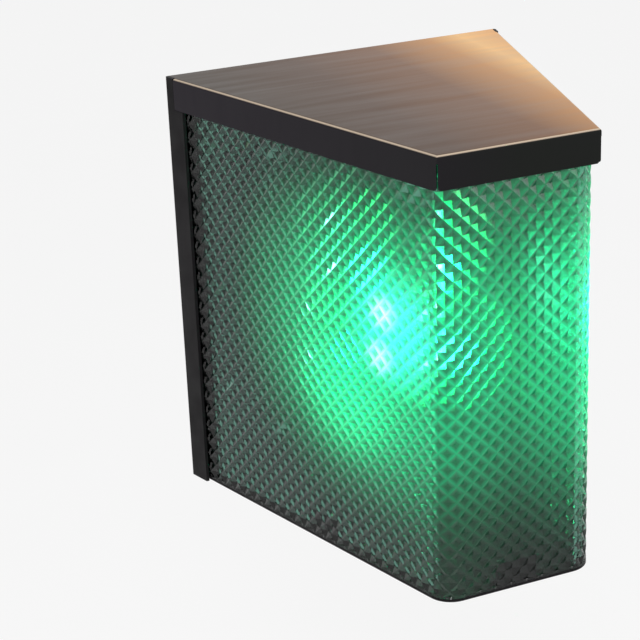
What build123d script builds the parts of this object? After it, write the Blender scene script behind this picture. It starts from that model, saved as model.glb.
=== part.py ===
"""Wall-mounted traffic signal head: a wedge of prismatic acrylic under a folded bronze cap.

The head is built as it comes apart on a bench.  A folded tray screws to the wall.  A cap with three
turned-down rims is nutted to the tray's top flange.  The lens is one sheet of acrylic bent twice; its
two ends run in channels at the sides of the tray, and it stands on the bottom plate.  Two captive
thumbscrews hold the bottom plate to the tray, and with them undone the plate and the lens draw straight
down out of the head.  Inside, a hat bracket carries the lamp: heat sink, board, two emitters and a
reflector.  The driver, the terminal block and the cable grommet sit on the tray.

Millimetres.  +Z is up and the wall is the plane Y = 0, with the head on its -Y side.  The origin is the
centre of the four wall screws, on the wall.
"""

from build123d import *
from math import atan2, cos, pi, sin, tan
import os

# ---- driving dimensions -------------------------------------------------------------------------

back_width = 152.0  # cap and tray, across the wall
front_width = 66.0  # cap, across its front rim
depth = 156.0  # wall to the cap's front rim
height = 178.0  # underside of the tray to the top of the cap
sheet = 1.2  # folded bronze sheet of the cap, tray and bottom plate

rim_height = 13.0  # turned-down rims of the cap
rim_slit = 0.6  # open slit between two rims at a front corner
slit_top = 3.0  # metal left above each slit
rim_clip = 0.9  # clipped lower corner of each rim at a slit
cap_bend = 1.3  # outside radius of the cap's bends

tray_flange = 11.0  # side flange of the tray, along the slanted side
tray_tab = 5.5  # what is left of that flange beside the cap's rim
tray_bend = 1.0  # outside radius of the tray's side bends
shelf_reach = 30.0  # the tray's top and bottom flanges, out from the wall
fold_gap = 0.15  # between folded sheets that lie beside each other

lens_wall = 3.0
lens_bend = 10.0  # outside radius of the lens's two bends
lens_gap = 0.3  # sliding clearance on each face of the lens
lens_back_gap = 0.8  # between the lens's ends and the tray's back
tray_below_plate = 0.8  # how far the tray reaches below the bottom plate
seal_thickness = 2.0  # foam seal under the cap, over the lens's top edge
seal_width = 6.0

guide_sheet = 1.2  # inner wall of each lens channel
guide_leg = 12.0
guide_foot = 9.0

wall_hole_radius = 2.75
wall_hole_x = 96.0  # centre to centre
wall_hole_z = 124.0

cable_hole_radius = 11.1
cable_bore = 14.0
cable_z = 52.0
grommet_lip = 2.4
grommet_wall = 3.0

lamp_z = -8.0  # height of the middle of the lamp
lamp_pitch = 22.0  # between the two emitters
bracket_sheet = 1.5
bracket_width = 46.0
bracket_web = 62.0
bracket_reach = 27.5  # front face of the bracket's web, out from the wall
bracket_foot = 11.0
sink_width = 38.0
sink_height = 50.0
sink_base = 3.0
sink_depth = 15.0
sink_fins = 7
fin_thickness = 1.6
board_width = 34.0
board_height = 56.0
board_thickness = 1.6
emitter_size = 7.0
emitter_base = 1.4
dome_radius = 2.9
cup_base_radius = 16.2  # reflector, at the board
cup_mouth_radius = 27.0
cup_depth = 18.0
cup_wall = 1.2

driver_length = 68.0
driver_height = 24.0
driver_depth = 20.0
driver_z = -68.0
driver_ear = 8.0
driver_ear_thickness = 2.5

terminal_poles = 3
terminal_pitch = 9.0
terminal_height = 16.0
terminal_depth = 14.0
terminal_x = 35.0
terminal_z = 46.0

earth_x = -34.0
earth_z = 46.0

thumb_x = 80.0  # centre to centre
thumb_y = -17.0
thumb_head_radius = 7.0
thumb_head_height = 6.5
thumb_shank_radius = 2.45
nut_running_gap = 0.05
thumb_ribs = 18
retainer_radius = 4.2  # washer that keeps each thumbscrew in the bottom plate
retainer_clearance = 0.3
retainer_thickness = 0.9
plate_nut_flat = 9.0
plate_nut_height = 9.0
running_gap = 0.1  # between a turning or sliding face and its seat

cap_stud_x = 84.0  # between the outer two of three studs
cap_stud_y = -16.0
stud_radius = 2.0
stud_clearance = 0.25

screw_radius = 1.9
screw_head_radius = 3.6
screw_head_height = 1.8
rivet_radius = 1.6
rivet_head_radius = 3.0
rivet_head_height = 0.9
hole_gap = 0.05  # fixing to its hole, all round
wire_radius = 0.9

clip_leg = 9.0  # angle clips that join the lens to the bottom plate
clip_width = 18.0
clip_sheet = 1.0

# ---- levels and outlines worked out from them ---------------------------------------------------

side_angle = atan2((back_width - front_width) / 2, depth)  # lean of each side from the -Y axis
top = height / 2
bottom = -height / 2
cap_under = top - sheet  # underside of the cap's top sheet
rim_bottom = top - rim_height
plate_under = bottom + tray_below_plate
plate_top = plate_under + sheet
lens_bottom = plate_top
seal_under = cap_under - seal_thickness
lens_top = seal_under - lens_gap
lens_inset = sheet + lens_gap
lens_inner = lens_inset + lens_wall
guide_inset = lens_inner + lens_gap
tray_inside = -sheet  # the tray's inner back face
lens_back = tray_inside - lens_back_gap
tray_front = -tray_flange * cos(side_angle)
tab_front = -tray_tab * cos(side_angle)
shelf_half = back_width / 2 - guide_inset - guide_sheet - guide_foot - 2.0
bracket_face = -bracket_reach
board_face = bracket_face - board_thickness
thumb_places = [(-thumb_x / 2, thumb_y), (thumb_x / 2, thumb_y)]


def side_x(y, inset=0.0):
    """Half width of the head's plan at y, with its slanted side moved in by inset."""
    return back_width / 2 + y * tan(side_angle) - inset / cos(side_angle)


def plan_points(inset, y_back, y_front=None):
    """Corners of the plan moved in by inset, from y_back out to y_front or the front rim."""
    front = -(depth - inset) if y_front is None else y_front
    return [
        (-side_x(y_back, inset), y_back),
        (-side_x(front, inset), front),
        (side_x(front, inset), front),
        (side_x(y_back, inset), y_back),
    ]


def front_corners(points):
    """Of a plan sketch's vertices, the two at the front."""
    return points.sort_by(Axis.Y)[:2]


def finish(part, name):
    """Names a finished piece and writes it."""
    part.label = name
    export_step(part, f"parts/{name}.step")


os.makedirs("parts", exist_ok=True)

# ---- tray: back, slanted side flanges, top and bottom shelves -------------------------------------

cap_stud_places = [(x, cap_stud_y) for x in (-cap_stud_x / 2, 0.0, cap_stud_x / 2)]
stud_hole_radius = stud_radius + stud_clearance
nut_bore_radius = thumb_shank_radius + nut_running_gap
bracket_foot_z = bracket_web / 2 + bracket_foot / 2
bracket_screw_places = [
    (across * bracket_width / 4, lamp_z + up * bracket_foot_z) for across in (-1, 1) for up in (-1, 1)
]
driver_screw_x = driver_length / 2 + driver_ear / 2
driver_screw_places = [(-driver_screw_x, driver_z), (driver_screw_x, driver_z)]
terminal_width = terminal_poles * terminal_pitch
terminal_ear = 6.0
terminal_screw_x = terminal_width / 2 + terminal_ear / 2
terminal_screw_places = [(terminal_x + side * terminal_screw_x, terminal_z) for side in (-1, 1)]
guide_foot_x = side_x(tray_inside, guide_inset + guide_sheet) - guide_foot / 2
guide_rivet_z = 62.0
guide_rivet_places = [
    (side * guide_foot_x, z) for side in (-1, 1) for z in (-guide_rivet_z, 0.0, guide_rivet_z)
]
wall_plane = Plane(origin=(0, 0, 0), x_dir=(1, 0, 0), z_dir=(0, -1, 0))  # sketch x is X, sketch y is Z


def wall_sketch(y):
    """A sketch plane parallel to the wall at y, seen from the front, whose normal points to the room."""
    return wall_plane.offset(-y)


with BuildPart() as tray:
    with BuildSketch(Plane.XY.offset(bottom)):
        Polygon(*plan_points(0, 0, tray_front), align=None)
        Polygon(*plan_points(sheet, tray_inside, tray_front - 1), align=None, mode=Mode.SUBTRACT)
    extrude(amount=height)
    fillet(
        tray.edges().filter_by(Axis.Z).filter_by(lambda e: abs(e.center().Y) < 1e-6),
        tray_bend,
    )
    with BuildSketch(Plane.XY.offset(rim_bottom - fold_gap)):  # room for the cap's rims
        Rectangle(back_width, -tray_front + tray_tab, align=(Align.CENTER, Align.MAX))
        Rectangle(back_width, -tab_front, align=(Align.CENTER, Align.MAX), mode=Mode.SUBTRACT)
    extrude(amount=rim_height + 1, mode=Mode.SUBTRACT)
    with BuildSketch(Plane.XY.offset(cap_under)):  # room for the cap's top sheet
        Polygon(*plan_points(sheet, 1, tray_front), align=None)
    extrude(amount=sheet + 1, mode=Mode.SUBTRACT)
    with BuildSketch(Plane.XY.offset(cap_under - sheet)):
        with Locations((0, tray_inside)):
            Rectangle(2 * shelf_half, shelf_reach - sheet, align=(Align.CENTER, Align.MAX))
        with Locations(*cap_stud_places):
            Circle(stud_hole_radius, mode=Mode.SUBTRACT)
    extrude(amount=sheet)
    with BuildSketch(Plane.XY.offset(plate_top)):
        with Locations((0, tray_inside)):
            Rectangle(2 * shelf_half, shelf_reach - sheet, align=(Align.CENTER, Align.MAX))
        with Locations(*thumb_places):
            Circle(retainer_radius + retainer_clearance, mode=Mode.SUBTRACT)
    extrude(amount=sheet)
    fillet(
        tray.edges().filter_by(Axis.Z).group_by(Axis.Y)[0],
        4.0,
    )
    with BuildSketch(wall_sketch(0)):  # fixings through the back
        with GridLocations(wall_hole_x, wall_hole_z, 2, 2):
            Circle(wall_hole_radius)
        with Locations((0, cable_z)):
            Circle(cable_hole_radius)
        with Locations(*bracket_screw_places, *driver_screw_places, *terminal_screw_places):
            Circle(screw_radius + hole_gap)
        with Locations(*guide_rivet_places):
            Circle(rivet_radius + hole_gap)
        with Locations((earth_x, earth_z)):
            Circle(stud_radius + hole_gap)
    extrude(amount=sheet, mode=Mode.SUBTRACT)
finish(tray.part, "back_tray")

# ---- cap: top sheet with three rims, open slits at the two front corners --------------------------

with BuildPart() as cap:
    with BuildSketch(Plane.XY.offset(rim_bottom)):
        Polygon(*plan_points(0, 0), align=None)
    extrude(amount=rim_height)
    with BuildSketch(Plane.XY.offset(rim_bottom)):
        Polygon(*plan_points(sheet, 1), align=None)
    extrude(amount=rim_height - sheet, mode=Mode.SUBTRACT)
    with BuildSketch(Plane.XY.offset(rim_bottom)):  # the tray's tabs stand in these corners
        Rectangle(back_width + 2, fold_gap - tab_front, align=(Align.CENTER, Align.MAX))
        Polygon(*plan_points(sheet + fold_gap, 1, tray_front), align=None, mode=Mode.SUBTRACT)
    extrude(amount=rim_height, mode=Mode.SUBTRACT)
    fillet(
        cap.edges()
        .group_by(Axis.Z)[-1]
        .filter_by(lambda e: e.center().Y < tray_front and e.length > front_width / 2),
        cap_bend,
    )
    for side in (-1, 1):
        corner = (side * front_width / 2, -depth)
        outward = Plane(
            origin=(*corner, rim_bottom),
            x_dir=(0, 0, 1),
            z_dir=(side * cos(side_angle), -sin(side_angle) - 1, 0),
        )
        with BuildSketch(outward.offset(-4 * sheet)):
            with BuildLine():
                Polyline(
                    (0, rim_slit / 2 + rim_clip),
                    (rim_clip, rim_slit / 2),
                    (rim_height - slit_top, rim_slit / 2),
                    (rim_height - slit_top, -rim_slit / 2),
                    (rim_clip, -rim_slit / 2),
                    (0, -rim_slit / 2 - rim_clip),
                    close=True,
                )
            make_face()
        extrude(amount=8 * sheet, mode=Mode.SUBTRACT)
finish(cap.part, "cap")


# ---- fixings: one form for each kind, made where it is asked for -----------------------------------


def wall_fixing(places, y_seat, shank, head, head_height, reach):
    """Round-headed fixings square to the wall: head on y_seat, shank back towards the wall."""
    with BuildPart() as fixing:
        with BuildSketch(wall_sketch(y_seat)):
            with Locations(*places):
                Circle(head)
        extrude(amount=head_height)
        with BuildSketch(wall_sketch(y_seat)):
            with Locations(*places):
                Circle(shank)
        extrude(amount=-reach)
        fillet(fixing.edges().group_by(Axis.Y)[0], head_height * 0.4)
    return fixing.part


def post(places, z_low, z_high, radius):
    """Upright round bars."""
    with BuildPart() as bar:
        with BuildSketch(Plane.XY.offset(z_low)):
            with Locations(*places):
                Circle(radius)
        extrude(amount=z_high - z_low)
    return bar.part


def hex_nut(places, z_low, z_high, across_flats, bore):
    """Upright hexagon nuts."""
    with BuildPart() as nut:
        with BuildSketch(Plane.XY.offset(z_low)):
            with Locations(*places):
                RegularPolygon(across_flats / 2, 6, major_radius=False)
                Circle(bore, mode=Mode.SUBTRACT)
        extrude(amount=z_high - z_low)
    return nut.part


def wire(points, start_normal, radius):
    """A round wire along straight runs joined by arcs."""
    with BuildPart() as strand:
        with BuildLine() as route:
            FilletPolyline(*points, radius=radius)
        with BuildSketch(Plane(origin=points[0], z_dir=start_normal)):
            Circle(wire_radius)
        sweep(path=route.wires()[0])
    length = route.wires()[0].length
    share = strand.part.volume / (length * pi * wire_radius**2)
    print(f"wire {length:.1f} long, bends {radius}, volume over section times length {share:.4f}")
    return strand.part


cap_stud_length = 10.0
cap_nut_height = 3.2
finish(post(cap_stud_places, cap_under - cap_stud_length, cap_under, stud_radius), "cap_studs")
shelf_under = cap_under - sheet
finish(
    hex_nut(cap_stud_places, shelf_under - cap_nut_height, shelf_under, 7.0, stud_radius + hole_gap),
    "cap_nuts",
)

# ---- lens: one sheet bent round both front corners, standing on the bottom plate ---------------------

with BuildPart() as lens:
    with BuildSketch(Plane.XY.offset(lens_bottom)) as lens_plan:
        Polygon(*plan_points(lens_inset, lens_back), align=None)
        fillet(front_corners(lens_plan.vertices()), lens_bend)
    extrude(amount=lens_top - lens_bottom)
    with BuildSketch(Plane.XY.offset(lens_bottom)) as lens_core:
        Polygon(*plan_points(lens_inner, lens_back + 1), align=None)
        fillet(front_corners(lens_core.vertices()), lens_bend - lens_wall)
    extrude(amount=lens_top - lens_bottom, mode=Mode.SUBTRACT)
finish(lens.part, "lens")

with BuildPart() as cap_seal:
    seal_inset = sheet + fold_gap
    seal_inner = seal_inset + seal_width
    with BuildSketch(Plane.XY.offset(seal_under)) as seal_plan:
        Polygon(*plan_points(seal_inset, lens_back), align=None)
        fillet(front_corners(seal_plan.vertices()), lens_bend)
        Polygon(*plan_points(seal_inner, lens_back + 1), align=None, mode=Mode.SUBTRACT)
    extrude(amount=seal_thickness)
finish(cap_seal.part, "cap_seal")

# ---- lens channels: a folded guide down each side of the tray, riveted to its back -------------------

with BuildPart() as lens_guides:
    guide_end = tray_inside - guide_leg * cos(side_angle)
    for side in (-1, 1):
        outer = guide_inset
        inner = guide_inset + guide_sheet
        back_x = side_x(tray_inside, outer)
        foot_x = side_x(tray_inside, inner) - guide_foot
        with BuildSketch(Plane.XY.offset(plate_top + sheet + running_gap)):
            with BuildLine():
                Polyline(
                    (side * back_x, tray_inside),
                    (side * side_x(guide_end, outer), guide_end),
                    (side * side_x(guide_end, inner), guide_end),
                    (side * side_x(tray_inside - guide_sheet, inner), tray_inside - guide_sheet),
                    (side * foot_x, tray_inside - guide_sheet),
                    (side * foot_x, tray_inside),
                    close=True,
                )
            make_face()
        extrude(amount=seal_under - running_gap - plate_top - sheet - running_gap)
    with BuildSketch(wall_sketch(tray_inside - guide_sheet)):
        with Locations(*guide_rivet_places):
            Circle(rivet_radius + hole_gap)
    extrude(amount=-guide_sheet, mode=Mode.SUBTRACT)
finish(lens_guides.part, "lens_guides")
finish(
    wall_fixing(guide_rivet_places, tray_inside - guide_sheet, rivet_radius, rivet_head_radius,
                rivet_head_height, guide_sheet + sheet),
    "guide_rivets",
)

# ---- bottom plate, with the clips that hold the lens and the two captive thumbscrews -----------------

clip_y = -82.0  # the side clips, out from the wall
clip_inset = lens_inner
clip_side_x = side_x(clip_y, clip_inset)
clip_front_y = -(depth - clip_inset)
clip_frames = [
    Plane(origin=(clip_side_x, clip_y, plate_top), x_dir=(-cos(side_angle), sin(side_angle), 0),
          z_dir=(sin(side_angle), cos(side_angle), 0)),
    Plane(origin=(-clip_side_x, clip_y, plate_top), x_dir=(cos(side_angle), sin(side_angle), 0),
          z_dir=(sin(side_angle), -cos(side_angle), 0)),
    Plane(origin=(0, clip_front_y, plate_top), x_dir=(0, 1, 0), z_dir=(1, 0, 0)),
]
clip_rivet_places = [
    tuple(frame.origin + frame.x_dir * (clip_leg * 0.6))[:2] for frame in clip_frames
]

with BuildPart() as bottom_plate:
    with BuildSketch(Plane.XY.offset(plate_under)) as plate_plan:
        Polygon(*plan_points(lens_inset, tray_inside - lens_gap), align=None)
        fillet(front_corners(plate_plan.vertices()), lens_bend)
        with Locations(*thumb_places):
            Circle(thumb_shank_radius + running_gap, mode=Mode.SUBTRACT)
        with Locations(*clip_rivet_places):
            Circle(rivet_radius + hole_gap, mode=Mode.SUBTRACT)
    extrude(amount=sheet)
finish(bottom_plate.part, "bottom_plate")

with BuildPart() as lens_clips:
    for frame in clip_frames:
        with BuildSketch(frame.offset(-clip_width / 2)):
            with BuildLine():
                leg_up = 1 if frame.y_dir.Z > 0 else -1
                Polyline(
                    (0, 0),
                    (0, leg_up * clip_leg),
                    (clip_sheet, leg_up * clip_leg),
                    (clip_sheet, leg_up * clip_sheet),
                    (clip_leg, leg_up * clip_sheet),
                    (clip_leg, 0),
                    close=True,
                )
            make_face()
        extrude(amount=clip_width)
    with BuildSketch(Plane.XY.offset(plate_top)):
        with Locations(*clip_rivet_places):
            Circle(rivet_radius + hole_gap)
    extrude(amount=clip_sheet, mode=Mode.SUBTRACT)
finish(lens_clips.part, "lens_clips")

with BuildPart() as clip_rivets:
    with BuildSketch(Plane.XY.offset(plate_under)):
        with Locations(*clip_rivet_places):
            Circle(rivet_radius)
    extrude(amount=sheet + clip_sheet)
    with BuildSketch(Plane.XY.offset(plate_top + clip_sheet)):
        with Locations(*clip_rivet_places):
            Circle(rivet_head_radius)
    extrude(amount=rivet_head_height)
    fillet(clip_rivets.edges().group_by(Axis.Z)[-1], rivet_head_height * 0.4)
finish(clip_rivets.part, "clip_rivets")

thumb_head_top = plate_under - running_gap
thumb_top = plate_top + sheet + plate_nut_height - 1
for name, place in zip(("thumbscrew_left", "thumbscrew_right"), thumb_places):
    with BuildPart() as thumbscrew:
        with BuildSketch(Plane.XY.offset(thumb_head_top)):
            with Locations(place):
                Circle(thumb_head_radius)
                with PolarLocations(thumb_head_radius, thumb_ribs):
                    Circle(0.6, mode=Mode.SUBTRACT)
        extrude(amount=-thumb_head_height)
        with BuildSketch(Plane.XY.offset(thumb_head_top)):
            with Locations(place):
                Circle(thumb_shank_radius)
        extrude(amount=thumb_top - thumb_head_top)
        chamfer(thumbscrew.edges().group_by(Axis.Z)[-1], 0.6)
    finish(thumbscrew.part, name)

with BuildPart() as screw_retainers:
    with BuildSketch(Plane.XY.offset(plate_top)):
        with Locations(*thumb_places):
            Circle(retainer_radius)
            Circle(nut_bore_radius, mode=Mode.SUBTRACT)
    extrude(amount=retainer_thickness)
finish(screw_retainers.part, "screw_retainers")
finish(
    hex_nut(thumb_places, plate_top + sheet, plate_top + sheet + plate_nut_height, plate_nut_flat + 1,
            nut_bore_radius),
    "plate_nuts",
)

# ---- lamp: hat bracket, heat sink bonded behind its web, board, emitters and reflector ----------------

with BuildPart() as lamp_bracket:
    half_web = bracket_web / 2
    with BuildSketch(Plane.YZ.offset(-bracket_width / 2)):
        with BuildLine():
            Polyline(
                (tray_inside, lamp_z + half_web + bracket_foot),
                (tray_inside - bracket_sheet, lamp_z + half_web + bracket_foot),
                (tray_inside - bracket_sheet, lamp_z + half_web),
                (bracket_face, lamp_z + half_web),
                (bracket_face, lamp_z - half_web),
                (tray_inside - bracket_sheet, lamp_z - half_web),
                (tray_inside - bracket_sheet, lamp_z - half_web - bracket_foot),
                (tray_inside, lamp_z - half_web - bracket_foot),
                (tray_inside, lamp_z - half_web + bracket_sheet),
                (bracket_face + bracket_sheet, lamp_z - half_web + bracket_sheet),
                (bracket_face + bracket_sheet, lamp_z + half_web - bracket_sheet),
                (tray_inside, lamp_z + half_web - bracket_sheet),
                close=True,
            )
        make_face()
    extrude(amount=bracket_width)
    with BuildSketch(wall_sketch(0)):
        with Locations(*bracket_screw_places):
            Circle(screw_radius + hole_gap)
    extrude(amount=bracket_reach / 2, mode=Mode.SUBTRACT)
finish(lamp_bracket.part, "lamp_bracket")
finish(
    wall_fixing(bracket_screw_places, tray_inside - bracket_sheet, screw_radius, screw_head_radius,
                screw_head_height, bracket_sheet + sheet),
    "bracket_screws",
)

sink_back = bracket_face + bracket_sheet
with BuildPart() as heat_sink:
    with BuildSketch(wall_sketch(sink_back)):
        with Locations((0, lamp_z)):
            Rectangle(sink_width, sink_height)
    extrude(amount=-sink_base)
    fin_pitch = (sink_width - fin_thickness) / (sink_fins - 1)
    with BuildSketch(wall_sketch(sink_back + sink_base)):
        with Locations((0, lamp_z)):
            with GridLocations(fin_pitch, 1, sink_fins, 1):
                Rectangle(fin_thickness, sink_height)
    extrude(amount=-(sink_depth - sink_base))
finish(heat_sink.part, "heat_sink")

emitter_places = [(0, lamp_z - lamp_pitch / 2), (0, lamp_z + lamp_pitch / 2)]
with BuildPart() as led_board:
    with BuildSketch(wall_sketch(bracket_face)) as board_face_sketch:
        with Locations((0, lamp_z)):
            Rectangle(board_width, board_height)
        fillet(board_face_sketch.vertices(), 2.0)
    extrude(amount=board_thickness)
finish(led_board.part, "led_board")

with BuildPart() as emitter_bases:
    with BuildSketch(wall_sketch(board_face)):
        with Locations(*emitter_places):
            RectangleRounded(emitter_size, emitter_size, 0.6)
    extrude(amount=emitter_base)
finish(emitter_bases.part, "emitter_bases")

emitter_face = board_face - emitter_base
with BuildPart() as emitter_domes:
    for x, z in emitter_places:
        with BuildSketch(Plane(origin=(x, emitter_face, z), x_dir=(1, 0, 0), z_dir=(0, 0, 1))):
            with BuildLine():
                Line((0, 0), (dome_radius, 0))
                CenterArc((0, 0), dome_radius, 0, -90)
                Line((0, -dome_radius), (0, 0))
            make_face()
        revolve(axis=Axis((x, 0, z), (0, 1, 0)))
finish(emitter_domes.part, "emitter_domes")

with BuildPart() as reflector:
    with BuildSketch(Plane(origin=(0, board_face, lamp_z), x_dir=(1, 0, 0), z_dir=(0, 0, 1))):
        with BuildLine():
            Polyline(
                (cup_base_radius, 0),
                (cup_base_radius + cup_wall, 0),
                (cup_mouth_radius + cup_wall, -cup_depth),
                (cup_mouth_radius, -cup_depth),
                close=True,
            )
        make_face()
    revolve(axis=Axis((0, 0, lamp_z), (0, 1, 0)))
finish(reflector.part, "reflector")

# ---- driver, terminal block, earth stud and grommet on the tray's back -------------------------------

with BuildPart() as driver_case:
    with BuildSketch(wall_sketch(tray_inside)):
        with Locations((0, driver_z)):
            Rectangle(driver_length, driver_height)
    extrude(amount=driver_depth)
    fillet(driver_case.edges().filter_by(Axis.Y), 2.0)
    fillet(driver_case.edges().group_by(Axis.Y)[0], 1.2)
    with BuildSketch(wall_sketch(tray_inside)):
        with Locations((0, driver_z)):
            Rectangle(driver_length + 2 * driver_ear, driver_height * 0.6)
        with Locations(*driver_screw_places):
            Circle(screw_radius + hole_gap, mode=Mode.SUBTRACT)
    extrude(amount=driver_ear_thickness)
finish(driver_case.part, "driver_case")
finish(
    wall_fixing(driver_screw_places, tray_inside - driver_ear_thickness, screw_radius, screw_head_radius,
                screw_head_height, driver_ear_thickness + sheet),
    "driver_screws",
)

terminal_top = terminal_z + terminal_height / 2
terminal_low = terminal_z - terminal_height / 2
pole_x = [terminal_x + (n - (terminal_poles - 1) / 2) * terminal_pitch for n in range(terminal_poles)]
clamp_radius = 2.0
clamp_depth = 5.0
with BuildPart() as terminal_block:
    with BuildSketch(wall_sketch(tray_inside)):
        with Locations((terminal_x, terminal_z)):
            Rectangle(terminal_width, terminal_height)
    extrude(amount=terminal_depth)
    with BuildSketch(wall_sketch(tray_inside)):
        with Locations((terminal_x, terminal_z)):
            Rectangle(terminal_width + 2 * terminal_ear, terminal_height * 0.6)
        with Locations(*terminal_screw_places):
            Circle(screw_radius + hole_gap, mode=Mode.SUBTRACT)
    extrude(amount=driver_ear_thickness)
    with BuildSketch(wall_sketch(tray_inside - terminal_depth)):
        with Locations(*[(x, z) for x in pole_x for z in (terminal_z - 4, terminal_z + 4)]):
            Circle(clamp_radius + hole_gap)
    extrude(amount=-clamp_depth, mode=Mode.SUBTRACT)
finish(terminal_block.part, "terminal_block")

with BuildPart() as clamp_screws:
    with BuildSketch(wall_sketch(tray_inside - terminal_depth + clamp_depth)):
        with Locations(*[(x, z) for x in pole_x for z in (terminal_z - 4, terminal_z + 4)]):
            Circle(clamp_radius)
    extrude(amount=clamp_depth - 1.0)
    with BuildSketch(wall_sketch(tray_inside - terminal_depth + 1.0)):
        with Locations(*[(x, z) for x in pole_x for z in (terminal_z - 4, terminal_z + 4)]):
            Rectangle(2 * clamp_radius * 0.8, 0.6)
    extrude(amount=-0.8, mode=Mode.SUBTRACT)
finish(clamp_screws.part, "clamp_screws")
finish(
    wall_fixing(terminal_screw_places, tray_inside - driver_ear_thickness, screw_radius,
                screw_head_radius - 1.0, screw_head_height, driver_ear_thickness + sheet),
    "terminal_screws",
)

with BuildPart() as cable_grommet:
    lip_radius = cable_hole_radius + grommet_wall
    with BuildSketch(wall_sketch(tray_inside)):
        with Locations((0, cable_z)):
            Circle(lip_radius)
    extrude(amount=grommet_lip)
    fillet(cable_grommet.edges().group_by(Axis.Y)[0], grommet_lip * 0.4)
    with BuildSketch(wall_sketch(tray_inside)):
        with Locations((0, cable_z)):
            Circle(cable_hole_radius - hole_gap)
    extrude(amount=-sheet)
    with BuildSketch(wall_sketch(0)):
        with Locations((0, cable_z)):
            Circle(cable_bore / 2)
    extrude(amount=sheet + grommet_lip, mode=Mode.SUBTRACT)
finish(cable_grommet.part, "cable_grommet")

earth_length = 12.0
earth_nut_thickness = 3.0
earth_tag_thickness = 0.8
with BuildPart() as earth_stud:
    with BuildSketch(wall_sketch(0)):
        with Locations((earth_x, earth_z)):
            Circle(stud_radius)
    extrude(amount=earth_length)
finish(earth_stud.part, "earth_stud")
with BuildPart() as earth_nuts:
    for face in (tray_inside, tray_inside - earth_nut_thickness - earth_tag_thickness):
        with BuildSketch(wall_sketch(face)):
            with Locations((earth_x, earth_z)):
                RegularPolygon(3.5, 6, major_radius=False)
                Circle(stud_radius + hole_gap, mode=Mode.SUBTRACT)
        extrude(amount=earth_nut_thickness)
finish(earth_nuts.part, "earth_nuts")
earth_tag_y = tray_inside - earth_nut_thickness
with BuildPart() as earth_tag:
    with BuildSketch(wall_sketch(earth_tag_y)):
        with Locations((earth_x, earth_z)):
            Circle(4.2)
        with Locations((earth_x, earth_z + 6)):
            Rectangle(3.0, 8.0)
        with Locations((earth_x, earth_z)):
            Circle(stud_radius + hole_gap, mode=Mode.SUBTRACT)
    extrude(amount=earth_tag_thickness)
finish(earth_tag.part, "earth_tag")

# ---- wires, each from the face it leaves to the face it enters ---------------------------------------

wire_y = tray_inside - terminal_depth / 2
driver_top = driver_z + driver_height / 2
driver_mid_y = tray_inside - driver_depth / 2
tag_top = earth_z + 10.0
supply_x = 47.0
finish(
    wire([(pole_x[2], wire_y, terminal_low), (pole_x[2], wire_y, 22), (supply_x, wire_y, 0),
          (supply_x - 6, driver_mid_y, -32), (30, driver_mid_y, -44), (30, driver_mid_y, driver_top)],
         (0, 0, -1), 5.4),
    "live_wire",
)
finish(
    wire([(pole_x[1], wire_y, terminal_low), (pole_x[1], wire_y, 20), (supply_x - 8, wire_y, -2),
          (supply_x - 14, driver_mid_y, -30), (24, driver_mid_y, -44), (24, driver_mid_y, driver_top)],
         (0, 0, -1), 5.4),
    "neutral_wire",
)
finish(
    wire([(earth_x, earth_tag_y - 0.9, tag_top), (earth_x, earth_tag_y - 0.9, 66), (-18, wire_y, 76),
          (10, wire_y, 76), (pole_x[0], wire_y, 66), (pole_x[0], wire_y, terminal_top)],
         (0, 0, 1), 5.4),
    "earth_wire",
)
landing_z = lamp_z - board_height / 2 + 3.0
for name, x in (("lamp_wire_positive", -12.0), ("lamp_wire_negative", 12.0)):
    finish(
        wire([(x, driver_mid_y, driver_top), (x, driver_mid_y, driver_top + 8),
              (x, board_face - 13, driver_top + 10), (x, board_face - 13, landing_z),
              (x, board_face, landing_z)],
             (0, 0, 1), 5.4),
        name,
    )
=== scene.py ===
"""Looks for the wall-mounted signal head: a wedge of lit prismatic acrylic under a folded bronze cap."""
import math

import bmesh
import bpy
import numpy as np
from mathutils import Matrix, Vector


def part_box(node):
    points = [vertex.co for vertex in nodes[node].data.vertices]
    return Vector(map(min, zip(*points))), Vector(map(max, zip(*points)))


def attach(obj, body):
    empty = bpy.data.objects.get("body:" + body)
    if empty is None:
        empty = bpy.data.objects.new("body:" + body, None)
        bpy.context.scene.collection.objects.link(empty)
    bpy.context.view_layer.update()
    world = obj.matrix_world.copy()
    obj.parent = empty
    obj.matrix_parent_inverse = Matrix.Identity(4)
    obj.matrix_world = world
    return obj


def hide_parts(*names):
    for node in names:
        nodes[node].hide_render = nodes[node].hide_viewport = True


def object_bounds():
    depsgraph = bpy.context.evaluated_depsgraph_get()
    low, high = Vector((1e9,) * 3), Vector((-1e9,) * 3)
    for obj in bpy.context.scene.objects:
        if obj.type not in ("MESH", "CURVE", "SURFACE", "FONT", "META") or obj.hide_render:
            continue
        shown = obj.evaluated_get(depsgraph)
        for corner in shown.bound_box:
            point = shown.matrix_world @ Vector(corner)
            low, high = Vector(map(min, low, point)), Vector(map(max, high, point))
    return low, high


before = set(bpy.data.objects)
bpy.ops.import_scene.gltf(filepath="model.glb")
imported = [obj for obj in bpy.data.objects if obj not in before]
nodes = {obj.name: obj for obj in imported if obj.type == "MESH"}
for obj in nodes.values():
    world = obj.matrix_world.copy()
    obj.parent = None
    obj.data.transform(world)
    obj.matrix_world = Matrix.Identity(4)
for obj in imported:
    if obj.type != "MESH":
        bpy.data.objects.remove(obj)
cad_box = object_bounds()

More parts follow.
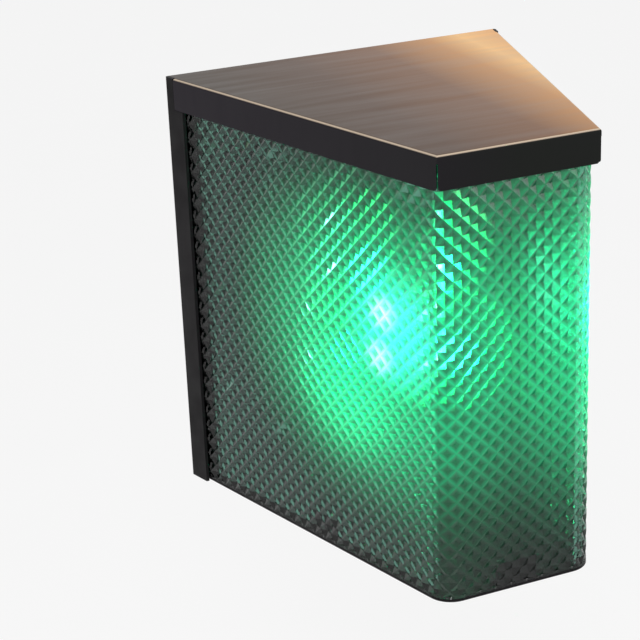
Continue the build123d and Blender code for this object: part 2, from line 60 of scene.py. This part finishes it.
# ---- sizes, in metres, that the lens and the camera share with the CAD part -----------------------
BACK_HALF = 0.076
FRONT_HALF = 0.033
DEPTH = 0.156
LENS_INSET = 0.0015
LENS_WALL = 0.003
LENS_BEND = 0.010
CELL_PITCH = 0.00476  # across the flats of one prism, laid at 45 degrees
CELL_DEPTH = 0.0011
CELL_STEPS = 8  # grid steps along a cell's diagonal
cap_low, cap_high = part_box("cap")
lens_low, lens_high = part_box("lens")
reflector_low, reflector_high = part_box("reflector")
PIT = "pit"  # how far each point of the lens's face lies down its prism, 0 on a ridge to 1 at the point
# The glow seen in the lens is painted there, as light given off by the acrylic, so it stays with the
# lens when the lens is drawn down.  Each row is a centre (distance from the middle plane, Y, Z), the
# reach of the glow and its colour, and it shows on both sides of the middle plane.
GLOWS = (
    ((0.048, -0.104, 0.004), 0.088, (0.0, 0.26, 0.10)),
    ((0.048, -0.100, -0.018), 0.040, (0.0, 0.30, 0.10)),
    ((0.040, -0.128, 0.016), 0.034, (0.03, 0.62, 0.42)),
    ((0.0415, -0.1235, 0.021), 0.011, (0.45, 0.6, 0.6)),
    ((0.0425, -0.1215, 0.003), 0.011, (0.40, 0.6, 0.6)),
    ((0.024, -0.155, 0.010), 0.100, (0.0, 0.20, 0.08)),
)
SIDE_SLOPE = (BACK_HALF - FRONT_HALF) / DEPTH


# ---- node helpers ---------------------------------------------------------------------------------
class Tree:
    """A material's node tree, with short calls to add and join nodes."""

    def __init__(self, name):
        self.material = bpy.data.materials.new(name)
        self.material.use_nodes = True
        self.nodes = self.material.node_tree.nodes
        self.links = self.material.node_tree.links
        self.shader = self.nodes["Principled BSDF"]
        self.output = self.nodes["Material Output"]
        self.place = self.add("ShaderNodeTexCoord").outputs["Object"]

    def add(self, kind, **values):
        node = self.nodes.new(kind)
        for key, value in values.items():
            setattr(node, key, value)
        return node

    def noise(self, scale, detail=4.0, stretch=(1, 1, 1)):
        mapping = self.add("ShaderNodeMapping")
        mapping.inputs["Scale"].default_value = stretch
        self.links.new(self.place, mapping.inputs["Vector"])
        noise = self.add("ShaderNodeTexNoise")
        noise.inputs["Scale"].default_value = scale
        noise.inputs["Detail"].default_value = detail
        self.links.new(mapping.outputs[0], noise.inputs["Vector"])
        return noise.outputs["Fac"]

    def ramp(self, source, stops):
        ramp = self.add("ShaderNodeValToRGB")
        elements = ramp.color_ramp.elements
        while len(elements) < len(stops):
            elements.new(0.5)
        for element, (at, colour) in zip(elements, stops):
            element.position = at
            element.color = (*colour, 1)
        self.links.new(source, ramp.inputs[0])
        return ramp.outputs[0]

    def between(self, source, low, high, out_low=0.0, out_high=1.0):
        span = self.add("ShaderNodeMapRange")
        for name, value in (("From Min", low), ("From Max", high), ("To Min", out_low), ("To Max", out_high)):
            span.inputs[name].default_value = value
        self.links.new(source, span.inputs["Value"])
        return span.outputs[0]

    def axis(self, name, source=None):
        split = self.add("ShaderNodeSeparateXYZ")
        self.links.new(source or self.place, split.inputs[0])
        return split.outputs[name]

    def mix(self, factor, first, second, blend="MIX"):
        mix = self.add("ShaderNodeMix", data_type="RGBA", blend_type=blend)
        for socket, value in ((mix.inputs[0], factor), (mix.inputs[6], first), (mix.inputs[7], second)):
            if isinstance(value, (tuple, list)):
                socket.default_value = (*value, 1)
            elif isinstance(value, (int, float)):
                socket.default_value = value
            else:
                self.links.new(value, socket)
        return mix.outputs[2]

    def bump(self, height, strength, distance):
        bump = self.add("ShaderNodeBump")
        bump.inputs["Strength"].default_value = strength
        bump.inputs["Distance"].default_value = distance
        self.links.new(height, bump.inputs["Height"])
        self.links.new(bump.outputs[0], self.shader.inputs["Normal"])

    def set(self, **values):
        for key, value in values.items():
            socket = self.shader.inputs[key.replace("_", " ")]
            if hasattr(value, "links"):
                self.links.new(value, socket)
            else:
                socket.default_value = (*value, 1) if isinstance(value, tuple) else value


def shade(colour, factor):
    return tuple(min(1.0, c * factor) for c in colour)


def worked(name, colour, metal, rough, grain=260.0, stretch=(1, 1, 1), spread=0.18, relief=0.00004):
    """A worked surface: colour that drifts, roughness that varies, and a fine grain in relief."""
    tree = Tree(name)
    drift = tree.noise(35.0)
    tree.set(
        Base_Color=tree.ramp(drift, [(0.3, shade(colour, 1 - spread)), (0.7, shade(colour, 1 + spread))]),
        Metallic=metal,
        Roughness=tree.between(tree.noise(90.0), 0.3, 0.7, rough * 0.8, rough * 1.2),
    )
    tree.bump(tree.noise(grain, 6.0, stretch), 0.35, relief)
    return tree.material


def cap_bronze():
    """Satin bronze cap: the top's olive brown at -X to gold at +X is a painted reflection; near-black rims,
    partly painted shade.
    """
    tree = Tree("cap_bronze")
    # painted reflection: the top's colour runs from olive brown to gold along X, in place of warm light
    # reflected off it
    across = tree.between(tree.axis("X"), cap_low.x, cap_high.x)
    top = tree.ramp(
        across,
        [(0.0, (0.040, 0.028, 0.017)), (0.35, (0.10, 0.052, 0.030)), (0.60, (0.22, 0.105, 0.050)),
         (0.78, (0.60, 0.30, 0.11)), (0.88, (0.95, 0.58, 0.24)), (1.0, (0.85, 0.45, 0.17))],
    )
    streak = tree.noise(60.0, 5.0, (0.25, 3.0, 1.0))
    top = tree.mix(0.35, top, tree.ramp(streak, [(0.3, (0.55, 0.55, 0.55)), (0.7, (1, 1, 1))]), "MULTIPLY")
    # rims: near-black, partly the dark paint and partly painted shade
    rim = tree.ramp(tree.between(tree.axis("X"), cap_low.x, 0.0),
                    [(0.0, (0.012, 0.008, 0.014)), (1.0, (0.006, 0.007, 0.006))])
    # faces that point up take the top's painted reflection, the rest take the rims' near-black, partly
    # painted shade
    geometry = tree.add("ShaderNodeNewGeometry")
    facing_up = tree.between(tree.axis("Z", geometry.outputs["Normal"]), 0.55, 0.95)
    # painted highlight: a pale cream band on the bend between the top and the rims, where the bend catches
    # the light
    highlight_band = tree.add("ShaderNodeMath", operation="MULTIPLY")
    upward = tree.axis("Z", geometry.outputs["Normal"])
    tree.links.new(tree.between(upward, 0.45, 0.7), highlight_band.inputs[0])
    tree.links.new(tree.between(upward, 0.97, 0.85), highlight_band.inputs[1])
    with_painted_highlight = tree.mix(highlight_band.outputs[0], tree.mix(facing_up, rim, top), (0.62, 0.50, 0.38))
    tree.set(
        Base_Color=with_painted_highlight,
        Metallic=tree.between(facing_up, 0.0, 1.0, 0.0, 0.75),
        Roughness=tree.between(streak, 0.3, 0.7, 0.34, 0.46),
        Specular_IOR_Level=0.12,
    )
    tree.bump(tree.noise(500.0, 6.0, (0.4, 2.0, 1.0)), 0.3, 0.00003)
    return tree.material


def dark_bronze():
    """The tray and plates: the same paint in near-black, partly painted shade inside and under the head, with
    a slight sheen.
    """
    material = worked("dark_bronze", (0.006, 0.005, 0.006), 0.0, 0.5, 500.0, (1, 1, 0.4), 0.3)
    material.node_tree.nodes["Principled BSDF"].inputs["Specular IOR Level"].default_value = 0.12
    return material


def acrylic():
    """Acrylic tinted dark green, the tint painted shade and green lamp light on what shows through, with the
    painted glow, strongest on the ridges between the prisms.

    Shadow rays pass straight through, so the lamp and the studio light what is behind the lens.
    """
    tree = Tree("acrylic")
    # painted shade and light: the dark green tint darkens and greens what is seen through the lens, in place
    # of shade and the lamp's green light
    painted_tint = tree.ramp(tree.noise(20.0), [(0.3, (0.07, 0.20, 0.15)), (0.7, (0.11, 0.26, 0.20))])
    tree.set(Base_Color=painted_tint, Roughness=0.10, IOR=1.42, Transmission_Weight=1.0, Specular_IOR_Level=0.32)
    mirrored = tree.add("ShaderNodeVectorMath", operation="ABSOLUTE")
    tree.links.new(tree.place, mirrored.inputs[0])
    geometry = tree.add("ShaderNodeNewGeometry")
    facet = tree.between(tree.axis("Z", geometry.outputs["Normal"]), -0.4, 0.4, 0.55, 1.0)
    pit = tree.add("ShaderNodeAttribute", attribute_name=PIT).outputs["Fac"]
    ridge = tree.add("ShaderNodeMath", operation="MULTIPLY")
    tree.links.new(tree.between(pit, 0.05, 0.6, 1.0, 0.10), ridge.inputs[0])
    tree.links.new(facet, ridge.inputs[1])
    facet = ridge.outputs[0]
    light = (0.0, 0.0, 0.0)
    for (across, out, height), reach, colour in GLOWS:
        away = tree.add("ShaderNodeVectorMath", operation="DISTANCE")
        join = tree.add("ShaderNodeCombineXYZ")
        tree.links.new(tree.axis("X", mirrored.outputs[0]), join.inputs[0])
        tree.links.new(tree.axis("Y"), join.inputs[1])
        tree.links.new(tree.axis("Z"), join.inputs[2])
        tree.links.new(join.outputs[0], away.inputs[0])
        away.inputs[1].default_value = (across, out, height)
        near = tree.add("ShaderNodeMapRange", interpolation_type="SMOOTHERSTEP")
        near.inputs["From Min"].default_value = reach
        near.inputs["From Max"].default_value = 0.0
        tree.links.new(away.outputs["Value"], near.inputs["Value"])
        lit = tree.mix(near.outputs[0], (0.0, 0.0, 0.0), colour)
        light = tree.mix(1.0, light, lit, "ADD")
    shadow = tree.ramp(facet, [(0, (0, 0, 0)), (1, (1, 1, 1))])
    tree.set(Emission_Color=tree.mix(1.0, light, shadow, "MULTIPLY"), Emission_Strength=1.7)
    path = tree.add("ShaderNodeLightPath")
    clear = tree.add("ShaderNodeBsdfTransparent")
    mix = tree.add("ShaderNodeMixShader")
    tree.links.new(path.outputs["Is Shadow Ray"], mix.inputs[0])
    tree.links.new(tree.shader.outputs[0], mix.inputs[1])
    tree.links.new(clear.outputs[0], mix.inputs[2])
    tree.links.new(mix.outputs[0], tree.output.inputs["Surface"])
    return tree.material


def glowing(name, colour, light, strength, fade_from, fade_to, centre):
    """A surface with a glow that falls off away from a centre: the lamp's own light on the emitters, painted
    light on the board and the reflector.
    """
    tree = Tree(name)
    away = tree.add("ShaderNodeVectorMath", operation="DISTANCE")
    away.inputs[1].default_value = centre
    tree.links.new(tree.place, away.inputs[0])
    near = tree.between(away.outputs["Value"], fade_from, fade_to, 1.0, 0.12)
    tree.set(
        Base_Color=tree.ramp(tree.noise(60.0), [(0.3, shade(colour, 0.85)), (0.7, colour)]),
        Roughness=0.35,
        Emission_Color=tree.mix(near, shade(light, 0.15), light),
        Emission_Strength=strength,
    )
    return tree.material


lamp_centre = (reflector_low + reflector_high) / 2
lamp_centre.y = reflector_high.y
STEEL = worked("steel", (0.62, 0.62, 0.60), 0.9, 0.32, 320.0, (1, 1, 0.2))
BRASS = worked("brass", (0.62, 0.44, 0.18), 0.9, 0.3, 320.0)
DARK = dark_bronze()
finishes = {
    "cap": cap_bronze(),
    # near-black: partly painted shade inside and under the head
    "back_tray": DARK,
    "bottom_plate": DARK,
    "lens_guides": DARK,
    "lens_clips": DARK,
    "lamp_bracket": worked("galvanised", (0.5, 0.52, 0.53), 0.8, 0.45, 140.0, spread=0.3),
    "heat_sink": worked("extruded_aluminium", (0.72, 0.73, 0.75), 0.9, 0.35, 420.0, (1, 1, 0.05)),
    # painted light: the board is no lamp; its green glow, fading away from the lamp's centre, is painted
    "led_board": glowing("lamp_board", (0.8, 0.86, 0.82), (0.03, 1.0, 0.45), 2.6, 0.004, 0.03, lamp_centre),
    "emitter_bases": glowing(
        "emitter_base", (0.9, 0.9, 0.8), (0.45, 1.0, 0.85), 4.0, 0.01, 0.02, lamp_centre
    ),
    "emitter_domes": glowing(
        "emitter_dome", (0.9, 1.0, 0.95), (0.40, 1.0, 0.75), 40.0, 0.05, 0.1, lamp_centre
    ),
    # painted light: a painted pool of the lamp's green light on the reflector, fading away from its centre
    "reflector": glowing("reflector", (0.04, 0.42, 0.22), (0.0, 0.62, 0.24), 2.2, 0.015, 0.045, lamp_centre),
    "driver_case": worked("driver_case", (0.035, 0.036, 0.04), 0.0, 0.5),
    "terminal_block": worked("terminal_block", (0.72, 0.70, 0.62), 0.0, 0.4),
    "cable_grommet": worked("rubber", (0.018, 0.018, 0.018), 0.0, 0.7),
    "cap_seal": worked("foam", (0.02, 0.02, 0.02), 0.0, 0.9, 900.0, relief=0.0003),
    "live_wire": worked("wire_brown", (0.16, 0.06, 0.025), 0.0, 0.35),
    "neutral_wire": worked("wire_blue", (0.03, 0.10, 0.42), 0.0, 0.35),
    "earth_wire": worked("wire_green", (0.10, 0.42, 0.06), 0.0, 0.35),
    "lamp_wire_positive": worked("wire_red", (0.50, 0.025, 0.02), 0.0, 0.35),
    "lamp_wire_negative": worked("wire_black", (0.015, 0.015, 0.015), 0.0, 0.35),
}
for name in ("clamp_screws", "earth_stud", "earth_nuts"):
    finishes[name] = BRASS
for name, node in nodes.items():
    node.data.materials.clear()
    node.data.materials.append(finishes.get(name, STEEL))


# ---- lens: the bent sheet with a prism pressed into its outer face at every cell -----------------
def plan_corner(inset):
    """The plan's right back end and right front corner, moved in by inset."""
    lean = math.hypot(1.0, SIDE_SLOPE)
    front_y = -(DEPTH - inset)
    back_y = lens_high.y
    return (Vector((BACK_HALF + back_y * SIDE_SLOPE - inset * lean, back_y)),
            Vector((BACK_HALF + front_y * SIDE_SLOPE - inset * lean, front_y)))


def lens_path(step):
    """Points and outward normals along the lens's outer face, from its left end round to its right."""
    end, corner = plan_corner(LENS_INSET)
    along = (corner - end).normalized()
    turn = math.acos(max(-1.0, min(1.0, along.dot(Vector((-1, 0))))))
    tangent = LENS_BEND * math.tan(turn / 2)
    side_run = (corner - end).length - tangent
    arc_run = LENS_BEND * turn
    half_front = corner.x - tangent
    half = half_front + arc_run + side_run
    count = 2 * round(half / step)
    side_normal = Vector((-along.y, along.x))
    centre = Vector((half_front, corner.y + LENS_BEND))
    rows = []
    for index in range(count + 1):
        s = -half + 2 * half * index / count
        mirror = -1 if s < 0 else 1
        run = abs(s)
        if run <= half_front:
            point, normal = Vector((run, corner.y)), Vector((0, -1))
        elif run <= half_front + arc_run:
            angle = (run - half_front) / LENS_BEND
            normal = Vector((math.sin(angle), -math.cos(angle)))
            point = centre + normal * LENS_BEND
        else:
            point = end + along * (half - run)
            normal = side_normal
        rows.append((s, Vector((mirror * point.x, point.y)), Vector((mirror * normal.x, normal.y))))
    return rows


def face_outward(piece):
    """Turns every face of a closed mesh outward."""
    turned = bmesh.new()
    turned.from_mesh(piece.data)
    bmesh.ops.recalc_face_normals(turned, faces=turned.faces)
    turned.to_mesh(piece.data)
    turned.free()


def prism_lens():
    """The lens as one closed mesh: a fine grid outside, with a prism at each cell, and a plain inner face."""
    diagonal = CELL_PITCH * math.sqrt(2)
    path = lens_path(diagonal / CELL_STEPS)
    columns = len(path)
    levels = round((lens_high.z - lens_low.z) / (diagonal / CELL_STEPS)) + 1
    vertices = []
    pits = []
    for index, (_, point, normal) in enumerate(path):
        for level in range(levels):
            # distance of this grid point from the nearest cell edge, in shares of half a cell
            across = (index + level) % CELL_STEPS / CELL_STEPS
            down = (index - level) % CELL_STEPS / CELL_STEPS
            rise = 1 - max(abs(2 * across - 1), abs(2 * down - 1))
            edge = index in (0, columns - 1) or level in (0, levels - 1)
            depth = 0.0 if edge else CELL_DEPTH * rise
            place = point - normal * depth
            pits.append(depth / CELL_DEPTH)
            height = lens_low.z + (lens_high.z - lens_low.z) * level / (levels - 1)
            vertices.append((place.x, place.y, height))
    faces = []
    for i in range(columns - 1):
        for j in range(levels - 1):
            a, b = i * levels + j, (i + 1) * levels + j
            if (i + j + 1) % CELL_STEPS:
                faces += [(a, b, b + 1), (a, b + 1, a + 1)]
            else:  # a ridge between two cells runs the other way across this square
                faces += [(a, b, a + 1), (b, b + 1, a + 1)]
    inner = len(vertices)
    for _, point, normal in path:
        place = point - normal * LENS_WALL
        vertices += [(place.x, place.y, lens_low.z), (place.x, place.y, lens_high.z)]
    for i in range(columns - 1):
        low, high = inner + 2 * i, inner + 2 * i + 1
        faces.append((low, high, high + 2, low + 2))
        faces.append((i * levels, low, low + 2, (i + 1) * levels))
        faces.append((i * levels + levels - 1, (i + 1) * levels + levels - 1, high + 2, high))
    faces.append([*range(levels - 1, -1, -1), inner, inner + 1][::-1])
    last = (columns - 1) * levels
    faces.append([*range(last, last + levels), inner + 2 * columns - 1, inner + 2 * columns - 2][::-1])
    mesh = bpy.data.meshes.new("prism_lens")
    mesh.from_pydata(vertices, [], faces)
    mesh.validate()
    mesh.update()
    pits += [0.0] * (len(vertices) - len(pits))
    mesh.attributes.new(PIT, "FLOAT", "POINT").data.foreach_set("value", np.array(pits, np.float32))
    piece = bpy.data.objects.new("prism_lens", mesh)
    bpy.context.scene.collection.objects.link(piece)
    piece.data.materials.append(acrylic())
    return piece


lens = prism_lens()
face_outward(lens)
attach(lens, "lens_unit")
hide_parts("lens")

# ---- floor, world and lights ---------------------------------------------------------------------
FLOOR_Z = cad_box[0][2] - 0.22  # clear of the lens when it is drawn down
WHITE = 1.0  # the world as the camera, gloss and glass see it
AMBIENT = 0.35  # the world as a source of light
FLOOR_WHITE = 0.85  # share of plain white in the floor; the rest takes light and shadow


def rays_that_see(tree_nodes, tree_links):
    """A factor that is 1 for camera, glossy and transmission rays and 0 for the rest."""
    path = tree_nodes.new("ShaderNodeLightPath")
    seen = path.outputs["Is Camera Ray"]
    for name in ("Is Glossy Ray", "Is Transmission Ray"):
        join = tree_nodes.new("ShaderNodeMath")
        join.operation = "MAXIMUM"
        tree_links.new(seen, join.inputs[0])
        tree_links.new(path.outputs[name], join.inputs[1])
        seen = join.outputs[0]
    return seen


def floor_material():
    """Pale floor, seen as near white."""
    tree = Tree("pale_floor")
    tree.set(Base_Color=tree.ramp(tree.noise(8.0), [(0.3, (0.86, 0.86, 0.86)), (0.7, (0.9, 0.9, 0.9))]),
             Roughness=0.9)
    seen = rays_that_see(tree.nodes, tree.links)
    white = tree.add("ShaderNodeEmission")
    mix = tree.add("ShaderNodeMixShader")
    tree.links.new(tree.between(seen, 0.0, 1.0, 0.0, FLOOR_WHITE), mix.inputs[0])
    tree.links.new(tree.shader.outputs[0], mix.inputs[1])
    tree.links.new(white.outputs[0], mix.inputs[2])
    tree.links.new(mix.outputs[0], tree.output.inputs["Surface"])
    return tree.material


bpy.ops.mesh.primitive_plane_add(size=12.0, location=(0, 0, FLOOR_Z))
floor = bpy.context.object
floor.name = "floor"
floor.data.materials.append(floor_material())

world = bpy.data.worlds.new("studio")
bpy.context.scene.world = world
world.use_nodes = True
wires, spots = world.node_tree.links, world.node_tree.nodes
background = spots["Background"]
level = spots.new("ShaderNodeMapRange")
level.inputs["To Min"].default_value = AMBIENT
level.inputs["To Max"].default_value = WHITE
wires.new(rays_that_see(spots, wires), level.inputs["Value"])
wires.new(level.outputs[0], background.inputs["Strength"])
background.inputs["Color"].default_value = (1, 1, 1, 1)


def area(name, place, size, power, aim):
    light = bpy.data.lights.new(name, "AREA")
    light.energy = power
    light.size = size
    holder = bpy.data.objects.new(name, light)
    holder.location = place
    holder.rotation_euler = (Vector(aim) - Vector(place)).to_track_quat("-Z", "Y").to_euler()
    bpy.context.scene.collection.objects.link(holder)


middle = (0.0, -DEPTH / 2, 0.0)
area("key", (-0.5, -0.9, 0.8), 0.5, 7.0, middle)
area("fill", (0.9, -0.6, 0.5), 0.7, 4.0, middle)
glow = bpy.data.lights.new("lamp_glow", "POINT")
glow.energy = 0.35
glow.color = (0.02, 1.0, 0.45)
glow.shadow_soft_size = 0.008
glow_holder = bpy.data.objects.new("lamp_glow", glow)
glow_holder.location = (lamp_centre.x, reflector_low.y - 0.012, lamp_centre.z)
bpy.context.scene.collection.objects.link(glow_holder)

# ---- camera: a long lens, looking down on the left front corner ------------------------------------
YAW, PITCH, ROLL = 0.4052, 0.3757, -0.0414
CAMERA_PLACE = Vector((-0.3228, -0.7244, 0.2815))
FOCAL = 108.7
forward = Vector((math.sin(YAW) * math.cos(PITCH), math.cos(YAW) * math.cos(PITCH), -math.sin(PITCH)))
right = Vector((math.cos(YAW), -math.sin(YAW), 0))
up = right.cross(forward)
tilted_right = right * math.cos(ROLL) + up * math.sin(ROLL)
tilted_up = up * math.cos(ROLL) - right * math.sin(ROLL)
camera_data = bpy.data.cameras.new("camera")
camera_data.lens = FOCAL
camera = bpy.data.objects.new("camera", camera_data)
basis = Matrix((tilted_right, tilted_up, -forward)).transposed().to_4x4()
camera.matrix_world = Matrix.Translation(CAMERA_PLACE) @ basis
bpy.context.scene.collection.objects.link(camera)
bpy.context.scene.camera = camera
bpy.context.scene.view_settings.view_transform = "Standard"
